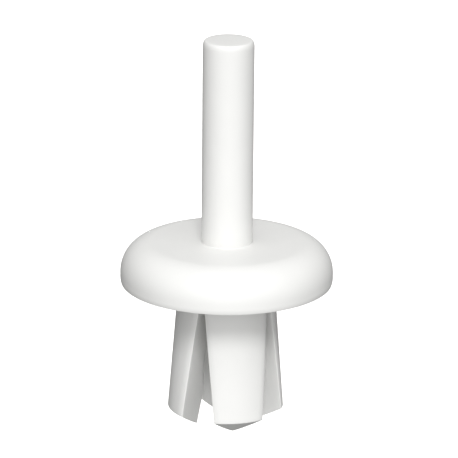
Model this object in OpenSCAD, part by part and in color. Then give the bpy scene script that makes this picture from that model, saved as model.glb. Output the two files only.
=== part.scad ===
// Push-in wall anchor: a domed head on four splayed legs, and a drive pin that is moulded
// standing on the head and is driven down through it to spread the legs behind the wall.
// The origin is the centre of the head's underside, where it seats on the wall. +Z points out
// of the wall, along the pin. All sizes are in millimetres and all angles in degrees.

/* [Head] */
// Diameter of the head
head_d = 12.5; // [9:0.1:16]
// Height of the head above the wall
head_h = 2.45; // [2.1:0.05:4]
// Radius of the round that joins the head's flat top to its rim
dome_r = 1.85; // [0.5:0.05:1.9]
// Radius on the head's lower outer edge
rim_edge_r = 0.12; // [0.05:0.01:0.18]
// Width of the relief in the head's underside, which clears burrs around the hole in the wall
relief_w = 0.6; // [0.4:0.05:1]
// Depth of that relief
relief_depth = 0.15; // [0.05:0.05:0.3]

/* [Drive pin] */
// Diameter of the drive pin
pin_d = 3; // [2:0.1:3.6]
// Height that the pin stands above the head before it is driven
pin_stand = 12.2; // [10:0.1:15]
// Radius on the edge of the pin's struck end
pin_edge_r = 0.18; // [0.05:0.01:0.4]
// Depth of the pin's foot below the top of the head before it is driven
pin_foot = 0.5; // [0.4:0.05:1]
// Height of the lead-in chamfer on the pin's foot
pin_lead_h = 0.3; // [0.1:0.05:0.4]
// Width of the lead-in chamfer
pin_lead_w = 0.15; // [0.05:0.05:0.4]

/* [Break-off web] */
// Width of the thin ring that carries the pin until the first blow shears it
web_w = 0.4; // [0.25:0.05:0.6]
// Thickness of the ring
web_t = 0.3; // [0.2:0.05:0.4]
// Radius of the small fillet where the ring meets the pin
web_fillet_r = 0.12; // [0.05:0.01:0.2]

/* [Legs] */
// Diameter of the shank at the wall's face, for a hole of 6 nominal diameter
root_d = 5.65; // [4.8:0.05:6.2]
// Height of the unslotted collar between the head and the legs
collar_h = 0.5; // [0.3:0.05:1]
// Depth of the legs' outer lower edge below the head's underside
leg_depth = 7.7; // [5:0.1:10]
// Angle at which the legs lean outwards as moulded
splay = 4.4; // [2:0.1:6]
// Angle between the legs' bevelled ends and the wall's plane
tip_bevel = 32.5; // [15:0.5:40]

/* [Slots] */
// Width of the slots where they end at the collar
slot_w = 0.25; // [0.15:0.05:0.5]
// Angle between each side of a slot and its middle plane
slot_flare = 7.6; // [4:0.1:9]

/* [Motion and fits] */
// Angle that each leg swings out while the pin is driven home
leg_swing = 3; // [1:0.25:4]
// Clearance between the pin and the break-off ring
web_clear = 0.02; // [0.01:0.005:0.05]
// Clearance between the pin and the bore through the head
bore_clear = 0.05; // [0.03:0.01:0.1]
// Clearance between the driven pin and the legs
leg_clear = 0.05; // [0.03:0.01:0.1]

/* [Hidden] */
$fn = 96;

head_r = head_d / 2;
pin_r = pin_d / 2;
root_r = root_d / 2;
collar_r = cone_r(collar_h);
seat_r = root_r + relief_w;
bore_r = pin_r + bore_clear;
web_in_r = pin_r + web_clear;
web_out_r = web_in_r + web_w;
foot_z = head_h - pin_foot;
nylon_white = [0.95, 0.95, 0.94];
past = 0.5; // how far a cutter runs past the face that it leaves
far = head_d + leg_depth; // further than any cut has to reach

// The pin is home when its struck end is flush with the head.
pin_travel = pin_stand;
// Way from the pin's foot, before it is driven, to the plane where the legs spring from the collar.
foot_to_legs = foot_z + collar_h;

// Radius of the shank's cone at a depth below the head's underside.
function cone_r(depth) = root_r + depth * tan(splay);
tip_r = cone_r(leg_depth);
// Depth at which the cone of the bevelled ends would come to a point.
point_depth = leg_depth + tip_r * tan(tip_bevel);

// Angle that the legs have swung when the pin's foot is at a depth below their roots.
function swing_at(depth) = leg_swing * min(1, (depth + foot_to_legs) / pin_travel);
// The bore between the legs narrows with depth, so that the pin spreads them. Each ring of it has
// just swung clear of the pin when the foot gets there. A leg's corners lie up to 45 degrees from
// the way that it swings, so they clear by the cosine of that.
function leg_bore_r(depth) = pin_r + leg_clear - depth * sin(swing_at(depth)) * cos(45);
bore_steps = 8;

// Half the width of a slot at a depth below the legs' roots.
function slot_half(depth) = slot_w / 2 + depth * tan(slot_flare);

module head() color(nylon_white) difference() {
    union() {
        rotate_extrude() head_outline();
        translate([0, 0, -collar_h]) cylinder(h = collar_h + past, r = collar_r);
    }
    translate([0, 0, -collar_h - past]) cylinder(h = head_h + collar_h + 2 * past, r = bore_r);
    translate([0, 0, head_h - web_t]) cylinder(h = web_t + past, r = web_out_r);
    for (turn = [45, 135]) rotate(turn) slot_end();
}

// Right half of the head's section, without its bore.
module head_outline() difference() {
    union() {
        translate([0, rim_edge_r]) square([head_r, head_h - dome_r - rim_edge_r]);
        square([head_r - rim_edge_r, head_h - dome_r]);
        translate([head_r - rim_edge_r, rim_edge_r]) circle(rim_edge_r);
        square([head_r - dome_r, head_h]);
        translate([head_r - dome_r, head_h - dome_r]) quarter_round(dome_r);
    }
    translate([0, -past]) square([seat_r, relief_depth + past]);
}

// Quarter of a disc that fills the corner up and to the right of its centre.
module quarter_round(r) intersection() {
    circle(r);
    square(r);
}

// The rounded end of a slot, where it runs into the collar.
module slot_end() translate([0, 0, -collar_h]) rotate([90, 0, 0]) {
    cylinder(h = far, r = slot_w / 2, center = true);
}

module break_web() color(nylon_white) difference() {
    union() {
        translate([0, 0, head_h - web_t]) cylinder(h = web_t, r = web_out_r);
        translate([0, 0, head_h]) cylinder(h = web_fillet_r, r = web_in_r + web_fillet_r);
    }
    translate([0, 0, head_h - web_t - past]) cylinder(h = web_t + web_fillet_r + 2 * past, r = web_in_r);
    rotate_extrude() translate([web_in_r + web_fillet_r, head_h + web_fillet_r]) circle(web_fillet_r);
}

module drive_pin() color(nylon_white) {
    barrel_z = foot_z + pin_lead_h;
    barrel_h = head_h + pin_stand - barrel_z;
    translate([0, 0, foot_z]) cylinder(h = pin_lead_h, r1 = pin_r - pin_lead_w, r2 = pin_r);
    translate([0, 0, barrel_z]) rotate_extrude() {
        square([pin_r, barrel_h - pin_edge_r]);
        square([pin_r - pin_edge_r, barrel_h]);
        translate([pin_r - pin_edge_r, barrel_h - pin_edge_r]) quarter_round(pin_edge_r);
    }
}

// One leg. A turn of 0 makes the front one, towards -Y.
module leg(turn) color(nylon_white) rotate(turn) intersection() {
    difference() {
        rotate_extrude() leg_cone_outline();
        rotate_extrude() leg_bore_outline();
    }
    rotate(-135) slot_side();
    rotate(-45) mirror([0, 1, 0]) slot_side();
}

module leg_cone_outline() polygon([
    [0, -collar_h],
    [collar_r, -collar_h],
    [tip_r, -leg_depth],
    [0, -point_depth]
]);

module leg_bore_outline() {
    bore_depth = point_depth - collar_h;
    wall = [for (step = [0 : bore_steps])
        let (depth = bore_depth * step / bore_steps) [leg_bore_r(depth), -collar_h - depth]];
    polygon(concat(
        [[0, past - collar_h], [leg_bore_r(0), past - collar_h]],
        wall,
        [[0, -point_depth]]
    ));
}

// All that lies to the left of a slot running along +X, with the slot's sloping side as its face.
module slot_side() translate([-far, 0, -collar_h]) rotate([90, 0, 90]) linear_extrude(2 * far) {
    polygon([
        [slot_half(0), 0],
        [2 * far, 0],
        [2 * far, -far],
        [slot_half(far), -far]
    ]);
}

head();
break_web();
drive_pin();
leg(0);  // leg_front
leg(90);  // leg_right
leg(180);  // leg_back
leg(270);  // leg_left
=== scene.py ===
# White push-in wall anchor: domed head, four splayed legs and its drive pin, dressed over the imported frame
import math

import bmesh
import bpy
import numpy as np
from mathutils import Matrix, Vector


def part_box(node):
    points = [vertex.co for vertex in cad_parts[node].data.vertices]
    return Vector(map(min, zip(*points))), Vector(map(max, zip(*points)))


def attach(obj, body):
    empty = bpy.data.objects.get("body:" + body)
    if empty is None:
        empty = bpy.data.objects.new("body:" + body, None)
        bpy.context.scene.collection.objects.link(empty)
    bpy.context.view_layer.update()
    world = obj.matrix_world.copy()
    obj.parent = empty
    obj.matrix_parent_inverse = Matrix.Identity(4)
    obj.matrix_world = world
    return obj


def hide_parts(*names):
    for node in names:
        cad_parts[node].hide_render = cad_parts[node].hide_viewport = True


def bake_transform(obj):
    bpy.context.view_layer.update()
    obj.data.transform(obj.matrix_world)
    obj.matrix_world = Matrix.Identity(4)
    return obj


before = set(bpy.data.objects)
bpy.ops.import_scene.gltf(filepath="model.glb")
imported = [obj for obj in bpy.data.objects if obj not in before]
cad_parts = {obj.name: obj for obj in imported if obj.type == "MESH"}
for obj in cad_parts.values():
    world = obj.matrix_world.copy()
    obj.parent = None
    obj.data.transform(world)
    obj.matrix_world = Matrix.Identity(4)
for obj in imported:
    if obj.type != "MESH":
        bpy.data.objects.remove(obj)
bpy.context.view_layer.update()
print("frame loaded:", ", ".join(sorted(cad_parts)))

mm = 0.001
headLow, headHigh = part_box("head")
webLow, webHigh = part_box("break_web")
pinLow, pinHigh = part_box("drive_pin")
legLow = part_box("leg_front")[0]
ringThickness = 0.3 * mm
pinClearance = 0.05 * mm  # between the pin and what it slides past
headTop = webLow.z + ringThickness  # the ring is flush with the head
collarEnd = headLow.z  # the legs spring from here
turnSteps = 192  # facets round every turned piece
weldDistance = 0.0002 * mm
sharpAngle = math.radians(32)  # true corners turn by more than this


# Small helpers that every piece uses

def linearColour(hexColour):
    # the sRGB curve, undone
    shares = [int(hexColour[i:i + 2], 16) / 255 for i in (1, 3, 5)]
    return [s / 12.92 if s <= 0.04045 else ((s + 0.055) / 1.055) ** 2.4 for s in shares] + [1]


def arcPoints(centre, size, fromDegrees, toDegrees, steps):
    # size is (half width, half height), so a round can be a little flatter than a true circle
    angles = [math.radians(fromDegrees + (toDegrees - fromDegrees) * i / steps) for i in range(steps + 1)]
    return [(centre[0] + size[0] * math.cos(a), centre[1] + size[1] * math.sin(a)) for a in angles]


def evenly(points, steps):
    # the same open line again, in equal steps
    line = np.array(points, float)
    reach = np.concatenate([[0], np.cumsum(np.hypot(*np.diff(line, axis=0).T))])
    marks = np.linspace(0, reach[-1], steps + 1)
    evened = np.column_stack([np.interp(marks, reach, line[:, k]) for k in (0, 1)])
    return [tuple(p) for p in evened]


def finishedPiece(name, vertices, faces, material):
    mesh = bpy.data.meshes.new(name)
    mesh.from_pydata([tuple(v) for v in vertices], [], faces)
    work = bmesh.new()
    work.from_mesh(mesh)
    bmesh.ops.remove_doubles(work, verts=work.verts, dist=weldDistance)
    bmesh.ops.recalc_face_normals(work, faces=work.faces)
    for edge in work.edges:
        edge.smooth = edge.calc_face_angle(0) < sharpAngle
    for face in work.faces:
        face.smooth = True
    work.to_mesh(mesh)
    work.free()
    piece = bpy.data.objects.new(name, mesh)
    bpy.context.scene.collection.objects.link(piece)
    piece.data.materials.append(material)
    evenShading = piece.modifiers.new("evenShading", "WEIGHTED_NORMAL")
    evenShading.keep_sharp = True
    return piece


def turnedPiece(name, outline, material, closed=True):
    # spins (radius, height) points round the pin's axis; an open outline starts and ends on the axis
    rim = outline if closed else outline[1:-1]
    vertices, faces = [], []
    for step in range(turnSteps):
        a = 2 * math.pi * step / turnSteps
        vertices += [(r * math.cos(a), r * math.sin(a), z) for r, z in rim]
    count = len(rim)
    for step in range(turnSteps):
        here, there = step * count, (step + 1) % turnSteps * count
        for i in range(count if closed else count - 1):
            k = (i + 1) % count
            faces.append((here + i, there + i, there + k, here + k))
    if not closed:
        for end, row in ((outline[0], 0), (outline[-1], count - 1)):
            vertices.append((0, 0, end[1]))
            pole = len(vertices) - 1
            faces += [(pole, s * count + row, (s + 1) % turnSteps * count + row) for s in range(turnSteps)]
    return finishedPiece(name, vertices, faces, material)


def addNode(tree, kind, settings=None, links=None):
    # settings go to the node's own properties or sockets; links are socket name to source socket
    node = tree.nodes.new(kind)
    for key, value in (settings or {}).items():
        if isinstance(key, str) and hasattr(node, key):
            setattr(node, key, value)
        else:
            node.inputs[key].default_value = value
    for key, source in (links or {}).items():
        tree.links.new(source, node.inputs[key])
    return node


# Polyamide 6, injection moulded in a fine spark-eroded tool: a satin white that is faintly warm,
# with soft cloudy patches where it cooled thick and a grain that only breaks up the highlights
polyamideLook = {
    "paleHex": "#EAEAE8",
    "cloudHex": "#E4E4E2",
    "cloudSize": 2.6 * mm,  # a wall thickness or so
    "cloudDetail": 3.0,
    "grainSize": 0.09 * mm,  # real grain is nearer 0.03 and would vanish here
    "grainDetail": 2.0,
    "grainDepth": 0.0012 * mm,
    "rippleSize": 1.4 * mm,  # the slight sink and flow ripple of a moulded skin
    "rippleDetail": 1.0,
    "rippleDepth": 0.004 * mm,
    "glossFrom": 0.38,
    "glossTo": 0.5,
    "ior": 1.53,
}


def mouldedPolyamide(name, look):
    material = bpy.data.materials.new(name)
    material.use_nodes = True
    tree = material.node_tree
    tree.nodes.clear()
    place = addNode(tree, "ShaderNodeTexCoord").outputs["Object"]
    cloud, grain, ripple = (
        addNode(tree, "ShaderNodeTexNoise",
                {"Scale": 1 / look[pattern + "Size"], "Detail": look[pattern + "Detail"]}, {"Vector": place})
        for pattern in ("cloud", "grain", "ripple"))
    # a mix node's colours are sockets 6 and 7, and its mixed colour is output 2
    tint = addNode(tree, "ShaderNodeMix", {"data_type": "RGBA", 6: linearColour(look["paleHex"]),
                                           7: linearColour(look["cloudHex"])}, {0: cloud.outputs["Fac"]})
    gloss = addNode(tree, "ShaderNodeMapRange", {"To Min": look["glossFrom"], "To Max": look["glossTo"]},
                    {"Value": grain.outputs["Fac"]})
    swell = addNode(tree, "ShaderNodeBump", {"Distance": look["rippleDepth"]},
                    {"Height": ripple.outputs["Fac"]})
    skin = addNode(tree, "ShaderNodeBump", {"Distance": look["grainDepth"]},
                   {"Height": grain.outputs["Fac"], "Normal": swell.outputs["Normal"]})
    shader = addNode(tree, "ShaderNodeBsdfPrincipled", {"IOR": look["ior"]},
                     {"Base Color": tint.outputs[2], "Roughness": gloss.outputs["Result"],
                      "Normal": skin.outputs["Normal"]})
    addNode(tree, "ShaderNodeOutputMaterial", {}, {"Surface": shader.outputs["BSDF"]})
    return material


sleevePolyamide = mouldedPolyamide("polyamideMouldedSleeve", polyamideLook)
pinPolyamide = mouldedPolyamide("polyamideMouldedPin", polyamideLook)
print("materials made")


# The domed head, turned: flat top, round shoulder, short upright rim, seat, burr relief and collar
domedHead = {
    "shoulderWidth": 1.86 * mm,
    "shoulderHeight": 1.87 * mm,
    "shoulderFullness": 2.08,  # 2 is a true ellipse, and more fills the shoulder out
    "shoulderSteps": 36,
    "rimFallHeight": 0.32 * mm,  # the rim draws in a little before it meets the seat
    "rimFallDepth": 0.045 * mm,
    "rimFallSteps": 8,
    "rimEdge": 0.04 * mm,
    "rimEdgeSteps": 5,
    "seatInner": 3.425 * mm,
    "reliefDepth": 0.15 * mm,  # lifts the middle clear of burrs round the hole
    "reliefRound": 0.08 * mm,
    "seatSteps": 4,
    "reliefSteps": 5,
    "boreRadius": pinHigh.x + pinClearance,
    "collarTopRadius": 2.825 * mm,
    "collarSlope": math.tan(math.radians(4.4)),
}


def collarRadius(z):
    return domedHead["collarTopRadius"] - z * domedHead["collarSlope"]


def makeHead(look):
    rim, edge, relief = headHigh.x, look["rimEdge"], look["reliefRound"]
    seat, depth = look["seatInner"], look["reliefDepth"]
    outline = [(webHigh.x, headTop)]
    fullness = 2 / look["shoulderFullness"]
    for x, y in arcPoints((0, 0), (1, 1), 90, 0, look["shoulderSteps"]):
        outline.append((rim - look["shoulderWidth"] * (1 - abs(x) ** fullness),
                        headTop - look["shoulderHeight"] * (1 - abs(y) ** fullness)))
    fall, draw = look["rimFallHeight"] - edge, look["rimFallDepth"]
    for i in range(look["rimFallSteps"]):
        share = i / look["rimFallSteps"]
        outline.append((rim - draw * share ** 2, edge + fall * (1 - share)))
    lean = math.degrees(math.atan(2 * draw / fall))
    outline += arcPoints((rim - draw - edge, edge), (edge, edge), -lean, -90, look["rimEdgeSteps"])
    outline += arcPoints((seat + relief, relief), (relief, relief), -90, -180, look["seatSteps"])
    outline += [(seat, depth)]
    foot = collarRadius(depth)
    outline += arcPoints((foot + relief, depth - relief), (relief, relief), 90, 180, look["reliefSteps"])
    outline += [(collarRadius(collarEnd), collarEnd), (look["boreRadius"], collarEnd),
                (look["boreRadius"], webLow.z), (webHigh.x, webLow.z)]
    piece = turnedPiece("domedHead", outline, sleevePolyamide)
    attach(piece, "sleeve")
    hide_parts("head")


makeHead(domedHead)
print("head made")


# The break-off ring: flush with the head's top, with a hair of fillet up against the pin
breakRing = {
    "innerRadius": pinHigh.x + 0.004 * mm,  # as good as closed to the eye
    "fillet": 0.05 * mm,
    "filletSteps": 6,
}


def makeRing(look):
    inner, fillet = look["innerRadius"], look["fillet"]
    outline = [(inner, webLow.z), (webHigh.x, webLow.z), (webHigh.x, headTop)]
    outline += arcPoints((inner + fillet, headTop + fillet), (fillet, fillet), 270, 180, look["filletSteps"])
    piece = turnedPiece("breakRing", outline, sleevePolyamide)
    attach(piece, "sleeve")
    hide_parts("break_web")


makeRing(breakRing)
print("break-off ring made")


# The drive pin: a plain barrel with a rounded struck end and a chamfered foot
drivePin = {
    "topRoundWidth": 0.17 * mm,  # tumbling softens the struck edge more down the side than across the top
    "topRoundHeight": 0.37 * mm,
    "topRoundSteps": 12,
    "topRing": 0.5,  # share of the radius, for one ring that holds the struck end flat
    "leadHeight": 0.3 * mm,
    "leadWidth": 0.15 * mm,
    "barrelSteps": 20,
}


def makePin(look):
    radius, top, foot = pinHigh.x, pinHigh.z, pinLow.z
    turn, drop, steps = look["topRoundWidth"], look["topRoundHeight"], look["barrelSteps"]
    barrelFrom, barrelTo = foot + look["leadHeight"], top - drop
    outline = [(0, foot), (radius - look["leadWidth"], foot)]
    outline += [(radius, barrelFrom + (barrelTo - barrelFrom) * i / steps) for i in range(steps)]
    outline += arcPoints((radius - turn, barrelTo), (turn, drop), 0, 90, look["topRoundSteps"])
    outline += [(look["topRing"] * radius, top), (0, top)]
    piece = turnedPiece("drivePin", outline, pinPolyamide, closed=False)
    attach(piece, "pin")
    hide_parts("drive_pin")


makePin(drivePin)
print("pin made")


# The legs: quarters of a splayed cone between two V slots, bevelled below, with a bore that narrows
expansionLeg = {
    "lowerEdge": 7.715 * mm,
    "bevel": math.tan(math.radians(32.5)),
    "slotHalfWidth": 0.115 * mm,
    "slotFlare": math.tan(math.radians(7.6)),
    "cornerRound": 0.04 * mm,
    "cornerSteps": 6,
    "fadeDepth": 1.0 * mm,  # the rounds run out into the collar over this much of the root
    "leastRound": 0.03,  # the share of a round that is left there, so that no edge shrinks to nothing
    "softenWidth": 0.38 * mm,  # beside each slot the outside falls away a little before the corner
    "softenDrop": 0.045 * mm,
    "softenSteps": 8,
    "outerSteps": 10,
    "innerRound": 0.05 * mm,
    "innerSteps": 8,
    "sideSteps": 8,
    "backSteps": 10,
    "tipRound": 0.03 * mm,
    "tipSteps": 5,
    "boreRadius": pinHigh.x + pinClearance,
    "halfAngle": math.radians(45),  # a leg reaches this far round to each side of its middle
    "swing": math.radians(3),
    "travel": pinHigh.z - headTop,
    "footAbove": pinLow.z - collarEnd,
    "bendLength": 1.5 * mm,  # the living hinge bends over this much of the root
    "hingeInset": 0.5 * mm,  # from the outside to the middle of the bend
    "slotEndDepth": 0.2 * mm,  # the sections stand closer together over the slots' round ends
    "slotEndSections": 41,
    "plainFrom": 0.25 * mm,
    "plainSections": 120,
    "rootRows": (0, 0.001, 0.004, 0.008, 0.012, 0.016, 0.024, 0.034),  # shares of the way down
    "plainRowsFrom": 0.05,
    "plainRows": 44,
    "settleRounds": 14,  # each row settles on the sloping bevel in this many rounds
    "bevelRows": (0.3, 0.6, 0.85),  # shares of the way to the middle of the bevel
}


def slotHalf(z, look):
    depth = collarEnd - z
    end = look["slotHalfWidth"]
    if depth < end:  # the slot's round end
        return math.sqrt(max(0, end ** 2 - (end - depth) ** 2))
    return end + depth * look["slotFlare"]


def legBore(z, look):
    # each ring of the bore has just swung clear of the pin when the foot gets there
    depth = collarEnd - z
    swing = look["swing"] * min(1, (depth + look["footAbove"]) / look["travel"])
    return look["boreRadius"] - depth * math.sin(swing) * math.cos(look["halfAngle"])


def legSection(z, look):
    # one level section of the leg that points along +X, from its outer middle round to its inner middle
    outer, inner, slot = collarRadius(z), legBore(z, look), slotHalf(z, look)
    fade = min(1, (collarEnd - z) / look["fadeDepth"])
    corner = look["cornerRound"] * max(look["leastRound"], fade)
    hidden = look["innerRound"] * max(look["leastRound"], fade)
    drop, soften = look["softenDrop"] * fade, look["softenWidth"]
    quarter, innerSteps = look["halfAngle"], look["innerSteps"]
    slotFacing = math.degrees(quarter) + 90  # the way that the slot's side faces
    edge = outer - drop - corner
    turn = quarter - math.asin((slot + corner) / edge)
    centre = (edge * math.cos(turn), edge * math.sin(turn))
    softenFrom = turn - soften / outer
    half = arcPoints((0, 0), (outer, outer), 0, math.degrees(softenFrom), look["outerSteps"])
    for i in range(1, look["softenSteps"]):
        share = i / look["softenSteps"]
        a, r = softenFrom + (turn - softenFrom) * share, outer - drop * share ** 2
        half.append((r * math.cos(a), r * math.sin(a)))
    lean = math.degrees(math.atan(2 * drop / soften))
    half += arcPoints(centre, (corner, corner), math.degrees(turn) + lean, slotFacing, look["cornerSteps"])
    inTurn = quarter - math.asin(min(1, (slot + hidden) / (inner + hidden)))
    if inTurn > 0:
        centre = ((inner + hidden) * math.cos(inTurn), (inner + hidden) * math.sin(inTurn))
        back = arcPoints(centre, (hidden, hidden), slotFacing, 180 + math.degrees(inTurn), innerSteps)
        back += arcPoints((0, 0), (inner, inner), math.degrees(inTurn), 0, innerSteps)
    else:  # past here the slots' sides meet before they reach the bore
        centre = (math.sqrt(2) * (slot + hidden), 0)
        back = arcPoints(centre, (hidden, hidden), slotFacing, 180, 2 * innerSteps)
    side = evenly([half[-1], back[0]], look["sideSteps"])
    half += side[1:-1] + evenly(back, look["backSteps"])
    mirrored = [(x, -y) for x, y in half[-2:0:-1]]
    return half + mirrored


def makeLeg(node, name, outward, look):
    deepest = look["lowerEdge"] + collarRadius(-look["lowerEdge"]) * look["bevel"]
    slotEnd = np.linspace(0, look["slotEndDepth"] / mm, look["slotEndSections"]) * mm
    plain = np.linspace(collarEnd - look["plainFrom"], -deepest, look["plainSections"])
    levels = np.concatenate([collarEnd - slotEnd, plain])
    sections = np.array([legSection(z, look) for z in levels])
    around = sections.shape[1]

    def place(z):  # each outline point at a height of its own
        k = np.clip(np.searchsorted(-levels, -z) - 1, 0, len(levels) - 2)
        share = ((levels[k] - z) / (levels[k] - levels[k + 1])).clip(0, 1)[:, None]
        i = np.arange(around)
        return sections[k, i] * (1 - share) + sections[k + 1, i] * share

    def bevelHeight(radius):
        return -deepest + radius * look["bevel"]

    tip = look["tipRound"]
    loops = []
    for share in (*look["rootRows"], *np.linspace(look["plainRowsFrom"], 1, look["plainRows"])):
        z = np.full(around, collarEnd)
        for _ in range(look["settleRounds"]):
            flat = place(z)
            end = bevelHeight(np.hypot(*flat.T)) + tip
            z = collarEnd + share * (end - collarEnd)
        loops.append(np.column_stack([flat, z]))
    flat = loops[-1][:, :2]
    along = np.roll(flat, -1, axis=0) - np.roll(flat, 1, axis=0)
    inward = np.column_stack([-along[:, 1], along[:, 0]]) / np.hypot(*along.T)[:, None]
    for step in range(1, look["tipSteps"] + 1):  # rounds the lower edge
        a = math.radians(90 * step / look["tipSteps"])
        moved = flat + inward * tip * (1 - math.cos(a))
        loops.append(np.column_stack([moved, bevelHeight(np.hypot(*moved.T)) + tip * (1 - math.sin(a))]))
    middle = flat.mean(axis=0)
    rim = loops[-1][:, :2]
    for share in look["bevelRows"]:  # closes the bevel
        moved = rim + (middle - rim) * share
        loops.append(np.column_stack([moved, bevelHeight(np.hypot(*moved.T))]))
    turned = Matrix.Rotation(math.atan2(outward[1], outward[0]), 3, "Z")
    vertices = [turned @ Vector(p) for loop in loops for p in loop]
    vertices.append(turned @ Vector((middle[0], middle[1], bevelHeight(math.hypot(*middle)))))
    faces = []
    for row in range(len(loops) - 1):
        for i in range(around):
            k = (i + 1) % around
            faces.append((row * around + i, row * around + k, (row + 1) * around + k, (row + 1) * around + i))
    last = (len(loops) - 1) * around
    faces += [(last + i, last + (i + 1) % around, len(vertices) - 1) for i in range(around)]
    faces.append(tuple(range(around))[::-1])  # the hidden root, against the collar
    piece = finishedPiece(name, vertices, faces, sleevePolyamide)
    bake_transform(piece)
    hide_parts(node)


legs = (("leg_front", "legFront", (0, -1)), ("leg_right", "legRight", (1, 0)),
        ("leg_back", "legBack", (0, 1)), ("leg_left", "legLeft", (-1, 0)))
for node, name, outward in legs:
    makeLeg(node, name, outward, expansionLeg)
print("legs made")


camera = {
    "azimuth": -14.8,
    "elevation": 17.9,
    "roll": 0.53,
    "distance": 230 * mm,
    "frameWidth": 26.93 * mm,  # what the frame spans at the anchor
    "aimRight": 0.115 * mm,
    "aimUp": 3.045 * mm,
    "sensorWidth": 36,  # Blender counts this one in mm
    "nearest": 1 * mm,
    "furthest": 10,  # m
}

# The studio: a white cove, one soft key over the camera and a grey room that is lighter in front and above
studio = {
    "front": camera["azimuth"],  # the key and the brightest wall are on the camera's side
    "coveHex": "#FAFAF8",
    "coveDrop": 30 * mm,  # far enough down that the shadow falls clear of the anchor
    "coveRadius": 600 * mm,
    "coveSweep": 350 * mm,
    "coveSteps": 64,
    "coveCurveSteps": 12,
    "coveRoughness": 1.0,
    "coveGlow": 0.6,
    "key": {"rise": 40, "side": 4, "spread": 16, "strength": 1.44},
    "backFill": {"rise": -8, "side": 180, "spread": 12, "strength": 1.1},
    "walls": (  # (degrees round from the front, degrees up, strength)
        (0, 0, 0.965),
        (0, 90, 0.785),
        (180, 0, 0.1),
        (90, 0, 0.05),
        (0, -90, 0.03),
    ),
}


def towards(side, rise):
    a, e = math.radians(studio["front"] + side), math.radians(rise)
    return Vector((math.sin(a) * math.cos(e), -math.cos(a) * math.cos(e), math.sin(e)))


def makeCove(look):
    paper = bpy.data.materials.new("paperMattCove")  # matt white paper: no shine, it only takes a soft shadow
    paper.use_nodes = True
    tree = paper.node_tree
    shader = tree.nodes["Principled BSDF"]
    shader.inputs["Base Color"].default_value = linearColour(look["coveHex"])
    shader.inputs["Roughness"].default_value = look["coveRoughness"]
    shader.inputs["Emission Color"].default_value = linearColour(look["coveHex"])
    shader.inputs["Emission Strength"].default_value = look["coveGlow"]
    outside = addNode(tree, "ShaderNodeNewGeometry").outputs["Backfacing"]
    clear = addNode(tree, "ShaderNodeBsdfTransparent")  # lets the underside be seen through the floor
    oneSided = addNode(tree, "ShaderNodeMixShader", {},
                       {0: outside, 1: shader.outputs["BSDF"], 2: clear.outputs[0]})
    tree.links.new(oneSided.outputs[0], tree.nodes["Material Output"].inputs["Surface"])
    floorHeight = legLow.z - look["coveDrop"]
    radius, sweep, steps = look["coveRadius"], look["coveSweep"], look["coveSteps"]
    curve = arcPoints((radius - sweep, floorHeight + sweep), (sweep, sweep), -90, 0, look["coveCurveSteps"])
    curve.append((radius, floorHeight + 2 * radius))
    work = bmesh.new()
    rings = [[work.verts.new((r * math.cos(a), r * math.sin(a), z)) for r, z in curve]
             for a in (2 * math.pi * i / steps for i in range(steps))]
    middle = work.verts.new((0, 0, floorHeight))
    for here, there in zip(rings, rings[1:] + rings[:1]):
        work.faces.new((middle, here[0], there[0]))
        for i in range(len(here) - 1):
            work.faces.new((here[i], here[i + 1], there[i + 1], there[i]))
    for face in work.faces:
        face.smooth = True
    mesh = bpy.data.meshes.new("cove")
    work.to_mesh(mesh)
    work.free()
    mesh.materials.append(paper)
    cove = bpy.data.objects.new("cove", mesh)
    bpy.context.scene.collection.objects.link(cove)
    cove.visible_diffuse = cove.visible_glossy = cove.visible_shadow = False


def makeRoom(look):
    world = bpy.data.worlds.new("greyRoom")
    world.use_nodes = True
    tree = world.node_tree
    outwards = addNode(tree, "ShaderNodeTexCoord").outputs["Generated"]
    light = None
    for side, rise, strength in look["walls"]:
        facing = addNode(tree, "ShaderNodeVectorMath", {"operation": "DOT_PRODUCT", 1: towards(side, rise)},
                         {0: outwards})
        lit = addNode(tree, "ShaderNodeMath", {"operation": "MAXIMUM", 1: 0.0}, {0: facing.outputs["Value"]})
        shared = addNode(tree, "ShaderNodeMath", {"operation": "MULTIPLY", 1: strength}, {0: lit.outputs[0]})
        light = shared if light is None else addNode(tree, "ShaderNodeMath", {"operation": "ADD"},
                                                     {0: light.outputs[0], 1: shared.outputs[0]})
    tree.links.new(light.outputs[0], tree.nodes["Background"].inputs["Color"])
    bpy.context.scene.world = world


def makeLamp(name, look):
    data = bpy.data.lights.new(name, "SUN")
    data.energy = look["strength"]
    data.angle = math.radians(look["spread"])
    lamp = bpy.data.objects.new(name, data)
    lamp.rotation_mode = "QUATERNION"
    lamp.rotation_quaternion = towards(look["side"], look["rise"]).to_track_quat("Z", "Y")
    bpy.context.scene.collection.objects.link(lamp)
    return lamp


def makeCamera(look):
    a = math.radians(look["azimuth"])
    back = towards(0, look["elevation"])
    right = Vector((math.cos(a), math.sin(a), 0))
    up = back.cross(right)
    data = bpy.data.cameras.new("camera")
    data.sensor_width = look["sensorWidth"]
    data.lens = data.sensor_width * look["distance"] / look["frameWidth"]
    data.clip_start = look["nearest"]
    data.clip_end = look["furthest"]
    lens = bpy.data.objects.new("camera", data)
    lens.location = right * look["aimRight"] + up * look["aimUp"] + back * look["distance"]
    turn = Matrix((right, up, back)).transposed() @ Matrix.Rotation(math.radians(look["roll"]), 3, "Z")
    lens.rotation_euler = turn.to_euler()
    bpy.context.scene.collection.objects.link(lens)
    bpy.context.scene.camera = lens


makeCove(studio)
makeRoom(studio)
makeLamp("key", studio["key"])
makeLamp("backFill", studio["backFill"]).visible_glossy = False  # it lights the back and leaves no rim
makeCamera(camera)
bpy.context.scene.view_settings.view_transform = "Standard"
print("studio made")
